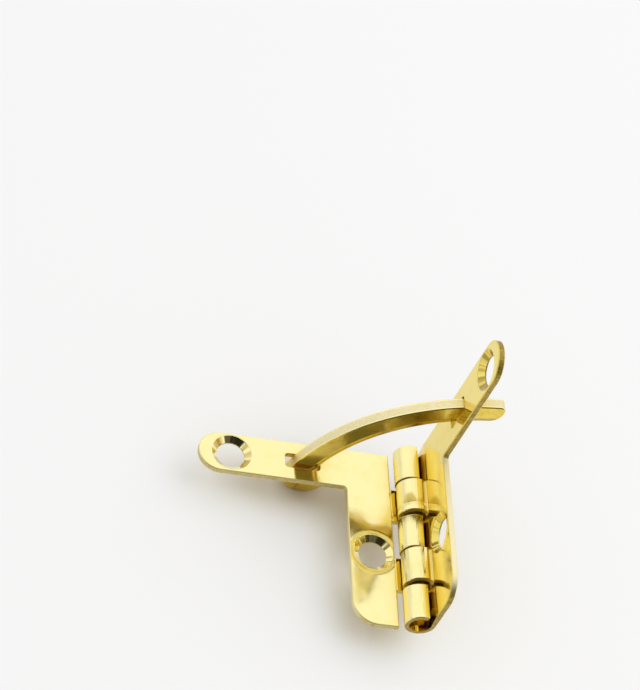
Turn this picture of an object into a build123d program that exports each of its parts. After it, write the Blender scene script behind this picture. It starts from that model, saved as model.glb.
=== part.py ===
"""Small quadrant hinge for a wooden box, open as far as its stay lets it go.

Two L-shaped leaves stamped from sheet turn on a pin through five curled knuckles.
A curved strip, the quadrant stay, runs loose through a slot in each arm and stops the lid.

Frame: millimetres. The origin is the axis of the box leaf's body screw hole, at that leaf's back face.
The box leaf lies flat with its arm towards -X, the pin runs along Y, and +Z points out of the box leaf's
countersunk face. Sizes along a leaf are measured from the pin axis, and sizes along the pin from the
plain end of the leaves, away from the arms.
"""
import os
from math import acos, atan2, cos, degrees, hypot, radians, sin, sqrt, tan

from build123d import *

# Leaves, both pressed with the same tools
sheet = 1.0              # thickness of the leaf
arm_reach = 33.0         # pin axis to the tip of the arm
leaf_length = 30.4       # along the pin
body_reach = 10.0        # pin axis to the body's free edge
arm_width = 6.8
corner_radius = 3.8      # large corner at the plain end of the body
inner_corner = 0.6       # between arm and body
edge_break = 0.13        # tumbled edges

# Knuckles and pin
knuckle_radius = 2.35    # outside of the curl, tangent to the leaf's back face
knuckle_count = 5        # odd ones from the arm end are on the lid leaf
knuckle_gap = 0.5        # mean gap between neighbouring knuckles
axial_play = 0.2         # how far the lid leaf sits towards the plain end
notch_clearance = 0.7    # from a knuckle to the edge of the other leaf's notch
knuckle_round = 0.15     # tumbled rims of the curls
box_curl_growth = 0.2    # the box leaf's curls are rolled larger, so their centre lies above the pin's
box_curl_angle = 211.0   # where the curl stops, in degrees from the side away from the arm
lid_curl_angle = 197.0
lid_curl_offset = 0.3    # the lid leaf's curls hang off centre on the pin, towards its inner side
pin_radius = 1.29
pin_clearance = 0.06     # where the pin lies against the lid leaf's curls
plain_end_recess = 2.6   # pin end below the face of the end knuckle
arm_end_recess = 0.3     # the same at the arm end

# Screw holes
screw_hole = 4.4         # diameter at the back face
countersink = 6.3        # diameter at the inner face
countersink_angle = 100.0
tip_hole_inset = 5.1     # arm tip to the arm's screw hole
body_hole_reach = 6.3    # pin axis to the body's screw hole
body_hole_height = 12.5  # plain end to the body's screw hole

# Slot in each arm
slot_reach = 16.8        # pin axis to the middle of the slot
slot_length = 5.6
slot_width = 2.6
slot_corner = 0.6

# Quadrant stay
open_angle = 92.0        # between the leaves when the stay is drawn tight
stay_radius = 28.7       # middle line of the strip
stay_width = 3.4
stay_thickness = 1.85
stay_box_offset = -0.15  # strip's middle line from the middle of the slot, outwards along each arm
stay_lid_offset = 0.6
head_radius = 3.4
head_depth = 5.3         # below the shoulder that bears on the box leaf
lid_end_reach = 5.5      # beyond the lid leaf's back face
lid_end_outer = 0.9      # corner radii at the lid end
lid_end_inner = 2.3
stake_radius = 0.8       # swaged pips that stop the strip beyond the lid leaf
stake_height = 0.6
stop_clearance = 0.08    # shoulder and pips to the leaves' back faces

cut_margin = 1.0         # cutters stand this far clear of the sheet

back = -knuckle_radius                      # back face of the box leaf, from the pin axis
face = back + sheet                         # its inner face
notch_reach = knuckle_radius + notch_clearance
pitch = leaf_length / knuckle_count
lid_back = back + lid_curl_offset           # back face of the lid leaf, in the same way
bore_radius = pin_radius + pin_clearance + lid_curl_offset
arm_middle = leaf_length - arm_width / 2
arm_hole_reach = arm_reach - tip_hole_inset
outer_radius = stay_radius + stay_width / 2
inner_radius = stay_radius - stay_width / 2


def across(profile, start, length):
    """Extrude a profile drawn in X and Z, from start along the pin."""
    return extrude(Plane.XZ.offset(-start) * profile, -length)


def plate_outline():
    """The leaf's plan without its knuckles: an L with a full round tip."""
    tip = arm_reach - arm_width / 2
    elbow = leaf_length - arm_width
    outline = Polyline(
        (-tip, leaf_length),
        (-notch_reach, leaf_length),
        (-notch_reach, 0),
        (-body_reach, 0),
        (-body_reach, elbow),
        (-tip, elbow),
    )
    plan = make_face(outline + ThreePointArc((-tip, elbow), (-arm_reach, arm_middle), (-tip, leaf_length)))
    corner = plan.vertices().sort_by_distance((-body_reach, 0))[0]
    plan = fillet(corner, corner_radius)
    elbow_corner = plan.vertices().sort_by_distance((-body_reach, elbow))[0]
    return fillet(elbow_corner, inner_corner)


def screw_hole_cut(reach, height):
    """Countersunk hole, with a short straight land at the leaf's back face."""
    cone_depth = (countersink - screw_hole) / 2 / tan(radians(countersink_angle / 2))
    land = sheet - cone_depth
    hole = Cylinder(screw_hole / 2, 2 * (sheet + cut_margin))
    mouth = Cone(screw_hole / 2, countersink / 2, cone_depth, align=(Align.CENTER, Align.CENTER, Align.MIN))
    return Pos(-reach, height, back) * (hole + Pos(0, 0, land) * mouth)


def slot_cut():
    slot = RectangleRounded(slot_length, slot_width, slot_corner)
    return Pos(-slot_reach, arm_middle, back + sheet / 2) * extrude(slot, sheet / 2 + cut_margin, both=True)


def knuckle(low, high, growth, curl_angle):
    """One curl with the root that joins it to the plate, its free edge over the plate."""
    root = notch_reach + 2 * edge_break
    outer = CenterArc((0, growth), knuckle_radius + growth, -90, curl_angle + 90)
    inner = CenterArc((0, growth), bore_radius + growth, -90, curl_angle + 90)
    lip = Line(outer @ 1, inner @ 1)
    flat = Polyline((0, back), (-root, back), (-root, face), (0, -bore_radius))
    curl = across(make_face(Curve() + [outer, lip, inner, flat]), low, high - low)
    ends = curl.faces().filter_by(Axis.Y).edges()
    outside = bore_radius + growth + edge_break
    rims = ends.filter_by(GeomType.CIRCLE).filter_by(lambda edge: edge.radius > outside)
    rims += ends.filter_by_position(Axis.Z, back, back)
    return fillet(rims, knuckle_round)


def leaf(first_knuckle, growth, curl_angle):
    """A leaf as it lies on the box: knuckles are counted from the arm end, every second one is its own."""
    plate = Pos(0, 0, back) * extrude(plate_outline(), sheet)
    rims = plate.edges().filter_by(Axis.Z, reverse=True)
    plate = chamfer(rims, edge_break)
    plate -= screw_hole_cut(arm_hole_reach, arm_middle)
    plate -= screw_hole_cut(body_hole_reach, body_hole_height)
    plate -= slot_cut()
    for number in range(first_knuckle, knuckle_count + 1, 2):
        low = 0 if number == knuckle_count else leaf_length - number * pitch + knuckle_gap / 2
        high = leaf_length if number == 1 else leaf_length - (number - 1) * pitch - knuckle_gap / 2
        plate += knuckle(low, high, growth, curl_angle)
    return plate


def make_box_leaf():
    return leaf(2, growth=box_curl_growth, curl_angle=box_curl_angle)


def make_lid_leaf():
    """The same pressing in mirror image, with the outer knuckles, turned open about the pin."""
    closed = mirror(leaf(1, growth=0, curl_angle=lid_curl_angle), Plane.XY)
    return Pos(0, -axial_play, 0) * Rot(0, open_angle, 0) * Pos(0, 0, -lid_curl_offset) * closed


def make_pin():
    low = plain_end_recess - axial_play
    high = leaf_length - arm_end_recess - axial_play
    rod = Cylinder(pin_radius, high - low)
    rod = chamfer(rod.edges().filter_by(GeomType.CIRCLE), edge_break)
    return Pos(0, (low + high) / 2, 0) * Rot(90, 0, 0) * rod


def stay_centre():
    """Centre of the strip's curve, from where its middle line crosses the two sheets."""
    turn = radians(open_angle)
    box_x, box_z = -slot_reach - stay_box_offset, back + sheet / 2
    reach, middle = slot_reach + stay_lid_offset, lid_back + sheet / 2
    lid_x = -reach * cos(turn) - middle * sin(turn)
    lid_z = reach * sin(turn) - middle * cos(turn)
    chord = hypot(lid_x - box_x, lid_z - box_z)
    height = sqrt(stay_radius**2 - chord**2 / 4)
    along_x, along_z = (lid_x - box_x) / chord, (lid_z - box_z) / chord
    return (box_x + lid_x) / 2 + along_z * height, (box_z + lid_z) / 2 - along_x * height


def angle_beyond_lid(centre, distance):
    """Angle on the strip's middle line of the point that lies this far beyond the lid leaf's back face."""
    turn = radians(open_angle)
    centre_out = centre[0] * sin(turn) + centre[1] * cos(turn)
    return 90 - open_angle + degrees(acos((distance - lid_back - centre_out) / stay_radius))


def make_stay():
    centre = stay_centre()
    shoulder = back - stop_clearance
    head_z = shoulder - head_depth + head_radius
    head_x = centre[0] - sqrt((outer_radius - head_radius) ** 2 - (centre[1] - head_z) ** 2)
    head_angle = degrees(atan2(head_z - centre[1], head_x - centre[0]))
    end_angle = angle_beyond_lid(centre, lid_end_reach)
    sweep_angle = head_angle - end_angle

    outer = CenterArc(centre, outer_radius, end_angle, sweep_angle)
    inner = CenterArc(centre, inner_radius, end_angle, sweep_angle)
    ends = [Line(outer @ 0, inner @ 0), Line(outer @ 1, inner @ 1)]
    strip = make_face(Curve() + [outer, inner] + ends)
    strip = fillet(strip.vertices().sort_by_distance(inner @ 0)[0], lid_end_inner)
    strip = fillet(strip.vertices().sort_by_distance(outer @ 0)[0], lid_end_outer)

    head = Pos(head_x, head_z) * Circle(head_radius)
    head -= Pos(head_x, shoulder + head_radius) * Rectangle(4 * head_radius, 2 * head_radius)
    outline = strip + head

    stay = across(outline, arm_middle - stay_thickness / 2, stay_thickness)
    stay = chamfer(stay.edges().filter_by(Axis.Y, reverse=True), edge_break)

    stake_angle = radians(angle_beyond_lid(centre, stop_clearance + stake_radius))
    stake_x = centre[0] + stay_radius * cos(stake_angle)
    stake_z = centre[1] + stay_radius * sin(stake_angle)
    ball_radius = (stake_radius**2 + stake_height**2) / (2 * stake_height)
    ball_offset = stay_thickness / 2 + stake_height - ball_radius
    for side in (-1, 1):
        stay += Pos(stake_x, arm_middle + side * ball_offset, stake_z) * Sphere(ball_radius)
    return stay


def main():
    to_datum = Pos(body_hole_reach, -body_hole_height, -back)
    pieces = {
        "box_leaf": make_box_leaf(),
        "lid_leaf": make_lid_leaf(),
        "hinge_pin": make_pin(),
        "quadrant_stay": make_stay(),
    }
    os.makedirs("parts", exist_ok=True)
    for name, piece in pieces.items():
        export_step(to_datum * piece, f"parts/{name}.step")


main()
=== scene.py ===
"""Looks of the small quadrant hinge: bright yellow plating on pressed sheet, seen in a white light tent.

Sizes are in millimetres where their comment names no other unit. Colours are linear.
"""
import math
from collections import namedtuple
from types import SimpleNamespace

import bpy
from mathutils import Matrix, Vector


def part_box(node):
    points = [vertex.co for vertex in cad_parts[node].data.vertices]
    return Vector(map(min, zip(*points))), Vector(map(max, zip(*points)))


MM = 0.001

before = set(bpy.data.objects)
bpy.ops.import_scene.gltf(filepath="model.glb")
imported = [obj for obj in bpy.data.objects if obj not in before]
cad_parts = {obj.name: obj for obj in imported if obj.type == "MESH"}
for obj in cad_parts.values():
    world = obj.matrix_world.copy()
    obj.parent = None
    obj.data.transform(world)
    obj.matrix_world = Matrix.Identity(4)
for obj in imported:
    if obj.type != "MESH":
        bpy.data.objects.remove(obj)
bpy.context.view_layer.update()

# Places and sizes that the looks share with the solids
OPEN_ANGLE = math.radians(92.0)
PIN = Vector((6.3, -12.5, 2.35))     # pin axis at the plain end of the leaves
ALONG_PIN = Vector((0, 1, 0))
NOTCH_REACH = 3.05                   # pin axis to the edge of the notches for the other leaf's knuckles
BODY_REACH = 10.0                    # pin axis to the body's free edge
BODY_HOLE = (6.3, 12.5)              # along the leaf from the pin, along the pin from the plain end
ARM_HOLE = (27.9, 27.0)
MOUTH_RADIUS = 3.15                  # of a countersink, at the inner face
STAY_CENTRE = Vector((17.165, 14.5, -7.661))     # of the stay's curve, in the middle of its thickness
STAY_INNER = 27.0                    # radius of the stay's hollow edge
STAY_HALF_THICKNESS = 0.925

# A leaf's direction away from the pin and out of its inner face, then how far its back face lies from the
# pin's axis, and how far the leaf is shifted towards the plain end
Leaf = namedtuple("Leaf", "along out back shift")
BOX_LEAF = Leaf(along=Vector((-1, 0, 0)), out=Vector((0, 0, 1)), back=2.35, shift=0.0)
LID_LEAF = Leaf(
    along=Vector((-math.cos(OPEN_ANGLE), 0, math.sin(OPEN_ANGLE))),
    out=Vector((-math.sin(OPEN_ANGLE), 0, -math.cos(OPEN_ANGLE))),
    back=2.05,
    shift=0.2,
)

# Plating of the leaves. Both leaves have the same plating; the lid leaf's tones are painted light and shade
# on it
GOLD = (0.95, 0.85, 0.41, 1)
GOLD_DEEP = (0.90, 0.76, 0.24, 1)
# The last tone is a painted highlight: a paler colour on the cut edge along the body's free end
Tones = namedtuple("Tones", "face face_deep rim pale_rim body_rim")
BOX_TONES = Tones(
    face=GOLD,
    face_deep=GOLD_DEEP,
    rim=(0.50, 0.38, 0.13, 1),
    pale_rim=(0.72, 0.60, 0.28, 1),
    body_rim=(0.78, 0.67, 0.37, 1),
)
# Painted shade and reflection: the lid leaf's inner face and cut edges are darker and more saturated than the
# box leaf's
LID_PAINTED_LIGHT_TONES = Tones(
    face=(0.90, 0.73, 0.17, 1),
    face_deep=(0.79, 0.58, 0.06, 1),
    rim=(0.26, 0.16, 0.02, 1),
    pale_rim=(0.54, 0.40, 0.09, 1),
    body_rim=(0.93, 0.83, 0.53, 1),
)

# Plating of the stay and the pin, its sides darker and warmer than the leaves' as painted shade, and the two
# painted shades that hollows and crevices take on
SIDE_PAINTED_SHADE = (0.88, 0.68, 0.12, 1)
STAY_DEEP_PAINTED_SHADE = (0.76, 0.52, 0.05, 1)
STAY_RIM = (0.72, 0.61, 0.31, 1)
PALE_STAY_RIM = (0.90, 0.80, 0.48, 1)
PIN_WIRE = (0.62, 0.36, 0.12, 1)
HOLLOW_PAINTED_SHADE = (0.80, 0.58, 0.06, 1)       # painted shade: plating made deeper in colour between the knuckles and the leaves, where light reflects back and forth
CREVICE_PAINTED_SHADE = (0.62, 0.32, 0.11, 1)      # painted shade: dark in the narrow crevices between and behind the knuckles

# A pattern of noise, with scale per millimetre and how much it is drawn together along each axis
Pattern = namedtuple("Pattern", "scale detail roughness stretch", defaults=(0.5, None))


class Nodes:
    """Short ways to add and link shader nodes."""

    def __init__(self, tree):
        self.tree = tree
        self.tree.nodes.clear()

    def add(self, kind, **settings):
        node = self.tree.nodes.new("ShaderNode" + kind)
        for key, value in settings.items():
            setattr(node, key, value)
        return node

    def put(self, socket, value):
        """Link a socket to another one, or set it to a plain value."""
        if isinstance(value, bpy.types.NodeSocket):
            self.tree.links.new(value, socket)
        else:
            socket.default_value = value

    def math(self, operation, a, b=0.0):
        node = self.add("Math", operation=operation)
        self.put(node.inputs[0], a)
        self.put(node.inputs[1], b)
        return node.outputs[0]

    def plus(self, a, b):
        return self.math("ADD", a, b)

    def minus(self, a, b):
        return self.math("SUBTRACT", a, b)

    def times(self, first, *others):
        for other in others:
            first = self.math("MULTIPLY", first, other)
        return first

    def length(self, x, y):
        return self.math("SQRT", self.plus(self.times(x, x), self.times(y, y)))

    def vector_math(self, operation, a, b=(0, 0, 0)):
        node = self.add("VectorMath", operation=operation)
        self.put(node.inputs[0], a)
        self.put(node.inputs[1], b)
        return node.outputs[0]

    def dot(self, vector, direction):
        node = self.add("VectorMath", operation="DOT_PRODUCT")
        self.put(node.inputs[0], vector)
        self.put(node.inputs[1], direction)
        return node.outputs["Value"]

    def vector(self, x, y, z):
        node = self.add("CombineXYZ")
        for socket, value in zip(node.inputs, (x, y, z)):
            self.put(socket, value)
        return node.outputs[0]

    def split(self, vector):
        node = self.add("SeparateXYZ")
        self.put(node.inputs[0], vector)
        return node.outputs

    def place(self, origin=Vector()):
        """The point on the object seen from this origin, in millimetres, and the surface's own normal."""
        coordinates = self.add("TexCoord")
        from_origin = self.vector_math("SUBTRACT", coordinates.outputs["Object"], origin * MM)
        in_millimetres = self.vector_math("MULTIPLY", from_origin, Vector((1, 1, 1)) / MM)
        return in_millimetres, coordinates.outputs["Normal"]

    def ramp(self, value, low, high, from_value=0.0, to_value=1.0):
        """Smooth step of value between low and high."""
        node = self.add("MapRange", interpolation_type="SMOOTHSTEP")
        for name, setting in (("Value", value), ("From Min", low), ("From Max", high)):
            self.put(node.inputs[name], setting)
        self.put(node.inputs["To Min"], from_value)
        self.put(node.inputs["To Max"], to_value)
        return node.outputs[0]

    def fall(self, value, low, high):
        """Smooth step the other way, from 1 at low to 0 at high."""
        return self.ramp(value, low, high, 1.0, 0.0)

    def noise(self, vector, pattern):
        if pattern.stretch is not None:
            vector = self.vector_math("MULTIPLY", vector, pattern.stretch)
        node = self.add("TexNoise")
        self.put(node.inputs["Vector"], vector)
        node.inputs["Scale"].default_value = pattern.scale
        node.inputs["Detail"].default_value = pattern.detail
        node.inputs["Roughness"].default_value = pattern.roughness
        return node.outputs["Fac"]

    def openness(self, reach, low, high, samples=8):
        """How open a place is, judged by what lies within reach: 0 deep in a hollow, 1 in the open."""
        node = self.add("AmbientOcclusion", samples=samples)
        node.inputs["Distance"].default_value = reach * MM
        return self.ramp(node.outputs["AO"], low, high)

    def mix(self, factor, a, b):
        node = self.add("Mix", data_type="RGBA")
        self.put(node.inputs["Factor"], factor)
        self.put(node.inputs["A"], a)
        self.put(node.inputs["B"], b)
        return node.outputs["Result"]

    def mix_shader(self, factor, a, b):
        node = self.add("MixShader")
        self.put(node.inputs["Fac"], factor)
        self.put(node.inputs[1], a)
        self.put(node.inputs[2], b)
        return node.outputs[0]

    def background(self, strength):
        node = self.add("Background")
        node.inputs["Color"].default_value = (1.0, 1.0, 1.0, 1)
        self.put(node.inputs["Strength"], strength)
        return node.outputs[0]

    def bump(self, height, depth, strength, normal=None):
        node = self.add("Bump")
        self.put(node.inputs["Strength"], strength)
        self.put(node.inputs["Distance"], depth * MM)
        self.put(node.inputs["Height"], height)
        if normal is not None:
            self.put(node.inputs["Normal"], normal)
        return node.outputs[0]

    def output(self, shader, kind="OutputMaterial"):
        self.put(self.add(kind).inputs["Surface"], shader)


def new_material(name):
    material = bpy.data.materials.new(name)
    material.use_nodes = True
    return material, Nodes(material.node_tree)


HOLLOW_REACH = 5.5                   # how far away a neighbour deepens the colour, as painted shade
HOLLOW_OPENNESS = (0.32, 0.94)
# reach and openness of the painted shade in narrow crevices
CREVICE_REACH = 0.7
CREVICE_OPENNESS = (0.1, 0.7)
COAT = {"Coat Weight": 0.3, "Coat Roughness": 0.06, "Coat IOR": 1.5}


def finish_metal(n, color, roughness, normal, crevice_reach=CREVICE_REACH):
    """Metal under a thin clear coat, with painted shade: a deeper colour in hollows and darker in crevices.
    """
    # Painted shade: a deeper colour where neighbours close in, then darker still in narrow crevices
    color = n.mix(n.openness(HOLLOW_REACH, *HOLLOW_OPENNESS), HOLLOW_PAINTED_SHADE, color)
    color = n.mix(n.openness(crevice_reach, *CREVICE_OPENNESS), CREVICE_PAINTED_SHADE, color)
    shader = n.add("BsdfPrincipled")
    shader.inputs["Metallic"].default_value = 1.0
    n.put(shader.inputs["Base Color"], color)
    n.put(shader.inputs["Roughness"], roughness)
    n.put(shader.inputs["Normal"], normal)
    for name, value in COAT.items():
        shader.inputs[name].default_value = value
    n.output(shader.outputs[0])


# Kinds of place on a leaf, each as the two ends of a smooth step
PLATE_ABOVE = (NOTCH_REACH - 0.15, NOTCH_REACH)  # reach from the pin
# the body's free edge, which takes a painted highlight
BODY_BELOW = (BODY_REACH + 0.1, BODY_REACH + 0.8)
ABOVE_BACK = (0.02, 0.08)            # rise above the back face
SHEARED_BELOW = (0.35, 0.6)          # how far a face looks the sheet's way, 0 to 1
TUMBLED_ABOVE = (0.6, 0.7)
TUMBLED_BELOW = (0.72, 0.75)
INNER_ABOVE = (0.2, 0.6)
END_ABOVE = (0.8, 0.95)              # how far a face looks along the pin, 0 to 1
NOT_END_BELOW = (0.5, 0.9)


def leaf_places(n, leaf):
    """Where a point lies on its leaf, in millimetres, and what kind of place it is, each from 0 to 1."""
    local, own_normal = n.place(PIN - leaf.shift * ALONG_PIN)
    at = SimpleNamespace()
    at.reach = n.dot(local, leaf.along)
    at.height = n.dot(local, ALONG_PIN)
    at.rise = n.plus(n.dot(local, leaf.out), leaf.back)
    at.point = n.vector(at.reach, at.height, at.rise)
    at.above_back = n.ramp(at.rise, *ABOVE_BACK)
    at.off_barrel = n.ramp(at.reach, *PLATE_ABOVE)
    at.on_barrel = n.minus(1.0, at.off_barrel)

    outward = n.dot(own_normal, leaf.out)
    facing = n.math("ABSOLUTE", outward)
    endwise = n.math("ABSOLUTE", n.dot(own_normal, ALONG_PIN))
    cut_edge = n.times(n.fall(facing, *SHEARED_BELOW), at.off_barrel)
    at.sheared = n.math("MAXIMUM", cut_edge, n.ramp(endwise, *END_ABOVE))
    at.tumbled = n.times(n.ramp(facing, *TUMBLED_ABOVE), n.fall(facing, *TUMBLED_BELOW), at.off_barrel)
    at.inner = n.times(n.ramp(outward, *INNER_ABOVE), at.off_barrel)
    # where the painted highlight on the body's free edge goes
    at.body_rim = n.times(n.fall(at.reach, *BODY_BELOW), n.fall(endwise, *NOT_END_BELOW))
    return at


CHATTER = Pattern(1.7, 1.0)
DISH_RADII = (MOUTH_RADIUS - 0.25, MOUTH_RADIUS + 0.9)
IN_MOUTH_BELOW = (MOUTH_RADIUS - 0.1, MOUTH_RADIUS)


def hole_marks(n, at):
    """The sheet's dish, 0 at the mouth of a screw hole and 1 away from it, and the chatter in the mouth."""
    dish, chatter = 1.0, 0.0
    for hole_reach, hole_height in (BODY_HOLE, ARM_HOLE):
        along_leaf = n.minus(at.reach, hole_reach)
        along_pin = n.minus(at.height, hole_height)
        away = n.length(along_leaf, along_pin)
        dish = n.times(dish, n.ramp(away, *DISH_RADII))
        in_mouth = n.times(n.fall(away, *IN_MOUTH_BELOW), at.above_back)
        around = n.vector(n.math("DIVIDE", along_leaf, away), n.math("DIVIDE", along_pin, away), hole_reach)
        chatter = n.plus(chatter, n.times(n.noise(around, CHATTER), in_mouth))
    return n.times(dish, at.above_back), chatter


# What a pattern does to the tone or the roughness: the two ends of a smooth step, and the values there
CLOUD_TONE = (0.45, 0.85, 0.0, 0.5)
CHATTER_TONE = (0.52, 0.62, 0.0, 0.8)
TEAR_TONE = (0.3, 0.7, 0.0, 1.0)
CLOUD_ROUGHNESS = (0.3, 0.8, 0.09, 0.14)
GRAIN_ROUGHNESS = (0.55, 0.75, 0.0, 0.04)
SHEARED_ROUGHNESS = 0.38             # added to the rest
TUMBLED_ROUGHNESS = 0.5


def leaf_color(n, at, tones, cloud, tear, chatter):
    clouded = n.ramp(cloud, *CLOUD_TONE)
    plating = n.mix(clouded, GOLD, GOLD_DEEP)
    # On the lid leaf the inner face's tones are painted shade and reflection
    color = n.mix(at.inner, plating, n.mix(clouded, tones.face, tones.face_deep))
    color = n.mix(n.ramp(chatter, *CHATTER_TONE), color, tones.rim)
    torn = n.mix(n.ramp(tear, *TEAR_TONE), tones.rim, tones.pale_rim)
    # The cut edge along the body's free end takes a painted highlight
    return n.mix(at.sheared, color, n.mix(at.body_rim, torn, tones.body_rim))


def leaf_roughness(n, at, cloud, grain):
    roughness = n.plus(n.ramp(cloud, *CLOUD_ROUGHNESS), n.ramp(grain, *GRAIN_ROUGHNESS))
    roughness = n.plus(roughness, n.times(at.sheared, SHEARED_ROUGHNESS))
    return n.plus(roughness, n.times(at.tumbled, TUMBLED_ROUGHNESS))


# Faint unevenness of the box leaf's pressing, by the height along the pin
DIP_TOP = 22.0                       # below it the body dips towards its plain end
DIP_BELOW = (DIP_TOP - 4.0, DIP_TOP)
DIP_SLOPE = 0.022
NARROW_END = 18.49                   # lower end of the curl nearer the arm, which narrows towards it
NARROW_ABOVE = (NARROW_END - 0.2, NARROW_END - 0.1)
NARROW_BELOW = (19.3, 19.8)
NARROW_SLOPE = 0.28
SLOPE_UNIT = 1.0                     # depth at which a bump's strength is its slope


def pressing_bumps(n, at, normal):
    """The box leaf's dipping body and its narrowing curl."""
    dip = n.times(n.minus(at.height, DIP_TOP), n.fall(at.height, *DIP_BELOW))
    normal = n.bump(n.times(dip, at.off_barrel), SLOPE_UNIT, DIP_SLOPE, normal)
    near_end = n.times(n.ramp(at.height, *NARROW_ABOVE), n.fall(at.height, *NARROW_BELOW))
    narrowing = n.times(n.minus(at.height, NARROW_END), near_end)
    return n.bump(n.times(narrowing, at.on_barrel), SLOPE_UNIT, NARROW_SLOPE, normal)


WAVES = Pattern(0.16, 2.0)
CLOUDS = Pattern(0.5, 3.0, 0.6)
GRAIN = Pattern(1.1, 4.0, 0.7, (1.2, 9.0, 1.0))
PITS = Pattern(6.0, 2.0)
TEARS = Pattern(1.2, 3.0, 0.7, (5.0, 5.0, 1.0))
STREAKS = Pattern(1.0, 3.0, 0.55, (1.6, 0.08, 1.6))

# Bumps, each with its depth and its strength
WAVE_BUMP = (0.25, 0.3)
STREAK_BUMP = (0.12, 0.8)
DISH_BUMP = (0.05, 1.0)
CHATTER_BUMP = (0.3, 1.0)
PIT_BUMP = (0.004, 0.6)
TEAR_BUMP = (0.05, 0.8)


def leaf_material(name, leaf, tones, uneven=False):
    """Plated sheet: bright rolled faces with faint waves, dished holes, and duller sheared edges."""
    material, n = new_material(name)
    at = leaf_places(n, leaf)
    cloud = n.noise(at.point, CLOUDS)
    tear = n.noise(at.point, TEARS)
    dish, chatter = hole_marks(n, at)
    color = leaf_color(n, at, tones, cloud, tear, chatter)
    roughness = leaf_roughness(n, at, cloud, n.noise(at.point, GRAIN))

    normal = n.bump(n.noise(at.point, WAVES), *WAVE_BUMP)
    normal = n.bump(n.times(n.noise(at.point, STREAKS), at.on_barrel), *STREAK_BUMP, normal)
    normal = n.bump(dish, *DISH_BUMP, normal)
    normal = n.bump(chatter, *CHATTER_BUMP, normal)
    if uneven:
        normal = pressing_bumps(n, at, normal)
    normal = n.bump(n.noise(at.point, PITS), *PIT_BUMP, normal)
    normal = n.bump(n.times(tear, at.sheared), *TEAR_BUMP, normal)
    finish_metal(n, color, roughness, normal)
    return material


STAY_CLOUDS = Pattern(0.7, 3.0, 0.6)
STAY_SAND = Pattern(5.0, 4.0, 0.75)
STAY_WAVES = Pattern(0.3, 2.0)
STAY_EDGE_BELOW = (0.15, 0.5)        # how far a face looks along the pin, 0 to 1
STAY_ROLLED = (STAY_INNER, STAY_INNER + 0.9)     # distance from the curve's centre
STAY_BURNISHED = (STAY_HALF_THICKNESS - 0.38, STAY_HALF_THICKNESS - 0.25)   # from the middle of its thickness
STAY_CLOUD_TONE = (0.35, 0.75)
STAY_SAND_TONE = (0.3, 0.6)
STAY_CLOUD_ROUGHNESS = (0.3, 0.8, 0.2, 0.28)
STAY_EDGE_ROUGHNESS = 0.2            # added at the edge
STAY_BURNISHED_SHEEN = 0.25          # taken off where it is burnished
STAY_WAVE_BUMP = (0.2, 0.4)
STAY_ROLL_BUMP = (0.3, 1.0)
STAY_SAND_BUMP = (0.05, 0.9)


def stay_material():
    """Plated strip: bright sides, and a finely torn cut edge all round, burnished along its borders."""
    material, n = new_material("stay_plating")
    local, own_normal = n.place()
    facing = n.math("ABSOLUTE", n.dot(own_normal, ALONG_PIN))
    edge = n.fall(facing, *STAY_EDGE_BELOW)
    x, y, z = n.split(n.vector_math("SUBTRACT", local, STAY_CENTRE))
    rolled = n.ramp(n.length(x, z), *STAY_ROLLED)
    burnished = n.times(n.ramp(n.math("ABSOLUTE", y), *STAY_BURNISHED), edge)
    cloud = n.noise(local, STAY_CLOUDS)
    sand = n.noise(local, STAY_SAND)

    # Painted shade: the stay's sides take the darker, warmer plating
    color = n.mix(n.ramp(cloud, *STAY_CLOUD_TONE), SIDE_PAINTED_SHADE, STAY_DEEP_PAINTED_SHADE)
    color = n.mix(edge, color, n.mix(n.ramp(sand, *STAY_SAND_TONE), STAY_RIM, PALE_STAY_RIM))
    color = n.mix(burnished, color, GOLD)
    roughness = n.plus(n.ramp(cloud, *STAY_CLOUD_ROUGHNESS), n.times(edge, STAY_EDGE_ROUGHNESS))
    roughness = n.minus(roughness, n.times(burnished, STAY_BURNISHED_SHEEN))
    normal = n.bump(n.noise(local, STAY_WAVES), *STAY_WAVE_BUMP)
    normal = n.bump(n.times(rolled, n.minus(1.0, edge)), *STAY_ROLL_BUMP, normal)
    normal = n.bump(n.times(sand, edge), *STAY_SAND_BUMP, normal)
    finish_metal(n, color, roughness, normal)
    return material


PIN_MARKS = Pattern(1.0, 3.0, 0.6, (6.0, 0.4, 6.0))
PIN_ROUGHNESS = (0.3, 0.7, 0.3, 0.45)
PIN_MARK_BUMP = (0.01, 0.6)
# reach of the painted shade in the pin's narrow crevices
PIN_CREVICE_REACH = 0.3


def pin_material():
    """Drawn wire with faint marks along it, plated with the rest."""
    material, n = new_material("pin_plating")
    local, _ = n.place()
    marks = n.noise(local, PIN_MARKS)
    # The pin takes the same darker plating, painted shade
    color = n.mix(marks, SIDE_PAINTED_SHADE, PIN_WIRE)
    normal = n.bump(marks, *PIN_MARK_BUMP)
    finish_metal(n, color, n.ramp(marks, *PIN_ROUGHNESS), normal, PIN_CREVICE_REACH)
    return material


def dress():
    looks = {
        "box_leaf": leaf_material("box_leaf_plating", BOX_LEAF, BOX_TONES, uneven=True),
        "lid_leaf": leaf_material("lid_leaf_plating", LID_LEAF, LID_PAINTED_LIGHT_TONES),
        "quadrant_stay": stay_material(),
        "hinge_pin": pin_material(),
    }
    for node, material in looks.items():
        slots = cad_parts[node].material_slots
        if not slots:
            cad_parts[node].data.materials.append(material)
        for slot in slots:
            slot.material = material


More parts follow.
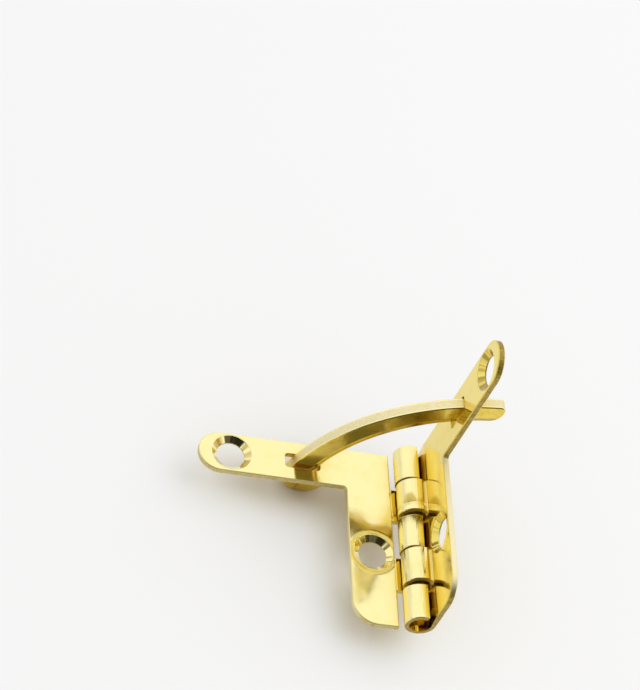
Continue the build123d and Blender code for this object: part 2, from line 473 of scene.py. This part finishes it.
FLOOR_DROP = 0.05                    # below the stay's head
FLOOR_SPAN = 8.0                     # in metres
FLOOR_OPEN = (0.95, 0.95, 0.95, 1)
FLOOR_PAINTED_SHADOW = (0.53, 0.45, 0.34, 1)  # painted shadow close under and around the hinge, warm like light thrown back by the metal
FLOOR_PAINTED_SHADOW_REACH = 7.5
FLOOR_OPENNESS = (0.2, 0.98)
FLOOR_PAINTED_SHADOW_SAMPLES = 16


def make_floor():
    low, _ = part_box("quadrant_stay")
    half = FLOOR_SPAN / 2
    level = low.z - FLOOR_DROP * MM
    mesh = bpy.data.meshes.new("floor")
    corners = [(-half, -half, level), (half, -half, level), (half, half, level), (-half, half, level)]
    mesh.from_pydata(corners, [], [(0, 1, 2, 3)])
    floor = bpy.data.objects.new("floor", mesh)
    bpy.context.scene.collection.objects.link(floor)
    material, n = new_material("floor_paper")
    # Painted shadow: the floor's colour darkens close under and around the hinge, on top of the lamps' own
    # shadow
    shade = n.openness(FLOOR_PAINTED_SHADOW_REACH, *FLOOR_OPENNESS, samples=FLOOR_PAINTED_SHADOW_SAMPLES)
    shader = n.add("BsdfDiffuse")
    n.put(shader.inputs["Color"], n.mix(shade, FLOOR_PAINTED_SHADOW, FLOOR_OPEN))
    n.output(shader.outputs[0])
    mesh.materials.append(material)


CAMERA_PLACE = Vector((-119.099, -219.310, 328.731))
CAMERA_RIGHT = Vector((0.9548, -0.0422, 0.2943))
CAMERA_AHEAD = Vector((0.2606, 0.5950, -0.7603))
SENSOR = 36.0
IMAGE_WIDTH = 640                    # in pixels
FOCAL_PIXELS = 2759.0
CLIP_START, CLIP_END = 0.02, 20.0    # in metres


def make_camera():
    back = -CAMERA_AHEAD.normalized()
    right = (CAMERA_RIGHT - CAMERA_RIGHT.dot(back) * back).normalized()
    up = back.cross(right)
    data = bpy.data.cameras.new("camera")
    data.sensor_fit = "HORIZONTAL"
    data.sensor_width = SENSOR
    data.lens = FOCAL_PIXELS * SENSOR / IMAGE_WIDTH
    data.clip_start = CLIP_START
    data.clip_end = CLIP_END
    camera = bpy.data.objects.new("camera", data)
    turn = Matrix((right, up, back)).transposed().to_4x4()
    camera.matrix_world = Matrix.Translation(CAMERA_PLACE * MM) @ turn
    bpy.context.scene.collection.objects.link(camera)
    bpy.context.scene.camera = camera


AMBIENT_LEVEL = 0.82                 # of the tent as it lights the object and the floor
REFLECTED_LEVEL = 1.1                # as the plating reflects it
SEEN_LEVEL = 0.94                    # as the camera sees it
OPENING = Vector((-0.16, -0.99, 0.0))            # level direction from the hinge to the tent's open side
OPENING_EDGE = (0.28, 0.50)          # cosine of the level angle from that direction
OPENING_TOP = (0.82, 0.90)           # sine of the height
OPENING_DIMNESS = 0.9
CAMERA_SHADOW = (0.88, 0.98, 1.0, 0.15)          # by the cosine of the angle from the camera
FOOT_LEVEL = (0.0, 0.45, 0.75, 1.0)  # dimmer towards the floor, by the sine of the height


def make_world():
    """White tent all round, open and dim on the camera's side, with the dark camera in the opening."""
    world = bpy.data.worlds.new("tent")
    bpy.context.scene.world = world
    world.use_nodes = True
    n = Nodes(world.node_tree)
    coordinates = n.add("TexCoord")
    outward = n.vector_math("NORMALIZE", coordinates.outputs["Generated"])
    x, y, z = n.split(outward)
    ahead = n.math("DIVIDE", n.dot(outward, OPENING.normalized()), n.length(x, y))
    dim = n.times(n.ramp(ahead, *OPENING_EDGE), n.fall(z, *OPENING_TOP))
    toward_camera = n.dot(outward, -CAMERA_AHEAD.normalized())
    tent = n.minus(1.0, n.times(dim, OPENING_DIMNESS))
    tent = n.times(tent, n.ramp(toward_camera, *CAMERA_SHADOW))
    tent = n.times(tent, n.ramp(z, *FOOT_LEVEL))

    path = n.add("LightPath")
    reflected = n.background(n.times(tent, REFLECTED_LEVEL))
    lit = n.mix_shader(path.outputs["Is Glossy Ray"], n.background(AMBIENT_LEVEL), reflected)
    seen_straight = n.math("MAXIMUM", path.outputs["Is Camera Ray"], path.outputs["Is Transmission Ray"])
    n.output(n.mix_shader(seen_straight, lit, n.background(SEEN_LEVEL)), "OutputWorld")


KEY_PLACE = Vector((0.45, 0.12, 0.75))           # in metres
KEY_SIZE = 1.0                       # in metres
KEY_POWER = 2.0                      # in watts


def make_key_light():
    """Large soft lamp for the floor's shadow, which the plating itself doesn't mirror."""
    data = bpy.data.lights.new("key", "AREA")
    data.shape = "DISK"
    data.size = KEY_SIZE
    data.energy = KEY_POWER
    light = bpy.data.objects.new("key", data)
    light.visible_glossy = False
    light.location = KEY_PLACE
    light.rotation_mode = "QUATERNION"
    light.rotation_quaternion = (-KEY_PLACE).to_track_quat("-Z", "Y")
    bpy.context.scene.collection.objects.link(light)


def main():
    bpy.context.scene.view_settings.view_transform = "Standard"
    dress()
    make_floor()
    make_camera()
    make_world()
    make_key_light()


main()
